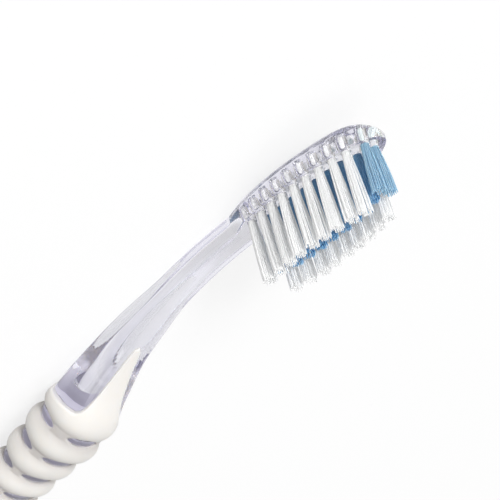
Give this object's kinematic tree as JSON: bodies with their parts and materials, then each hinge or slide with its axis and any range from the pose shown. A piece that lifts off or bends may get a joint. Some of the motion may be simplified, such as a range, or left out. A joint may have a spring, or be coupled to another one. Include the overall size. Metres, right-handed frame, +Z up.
{
  "type": "manual toothbrush",
  "caption": "Manual toothbrush with a clear angled head and neck, white outer and blue inner bristle tufts, and a soft white ribbed grip with lens-shaped windows.",
  "frame": {"origin": "middle of the brush's box in X and Y, on the surface that it lies on", "axes": "+X from the butt to the tip of the head, +Z up with the bristles pointing up and the brush lying on its back, +Y to the brush's left seen from the butt"},
  "size_m": [0.19, 0.013, 0.0197],
  "materials": {
    "clear_plastic": "clear, polished, faintly violet",
    "soft_grip": "satin, moulded",
    "white_bristle": "drawn nylon filament",
    "blue_bristle": "drawn nylon filament",
    "anchor_metal": "nickel silver, rolled strip, cut"
  },
  "bodies": {
    "root": {"handle_core": "clear_plastic", "grip_sleeve": "soft_grip", "tuft_anchors": "anchor_metal", "inner_tuft_front": "blue_bristle", "inner_tuft_heel": "blue_bristle", "inner_tuft_left_1": "blue_bristle", "inner_tuft_left_2": "blue_bristle", "inner_tuft_left_3": "blue_bristle", "inner_tuft_left_4": "blue_bristle", "inner_tuft_left_5": "blue_bristle", "inner_tuft_left_6": "blue_bristle", "inner_tuft_left_7": "blue_bristle", "inner_tuft_right_1": "blue_bristle", "inner_tuft_right_2": "blue_bristle", "inner_tuft_right_3": "blue_bristle", "inner_tuft_right_4": "blue_bristle", "inner_tuft_right_5": "blue_bristle", "inner_tuft_right_6": "blue_bristle", "inner_tuft_right_7": "blue_bristle", "outer_tuft_left_1": "white_bristle", "outer_tuft_left_2": "white_bristle", "outer_tuft_left_3": "white_bristle", "outer_tuft_left_4": "white_bristle", "outer_tuft_left_5": "white_bristle", "outer_tuft_left_6": "white_bristle", "outer_tuft_left_7": "white_bristle", "outer_tuft_left_8": "white_bristle", "outer_tuft_left_9": "white_bristle", "outer_tuft_right_1": "white_bristle", "outer_tuft_right_2": "white_bristle", "outer_tuft_right_3": "white_bristle", "outer_tuft_right_4": "white_bristle", "outer_tuft_right_5": "white_bristle", "outer_tuft_right_6": "white_bristle", "outer_tuft_right_7": "white_bristle", "outer_tuft_right_8": "white_bristle", "outer_tuft_right_9": "white_bristle", "tip_tuft_left": "blue_bristle", "tip_tuft_right": "blue_bristle"}
  },
  "joints": []
}
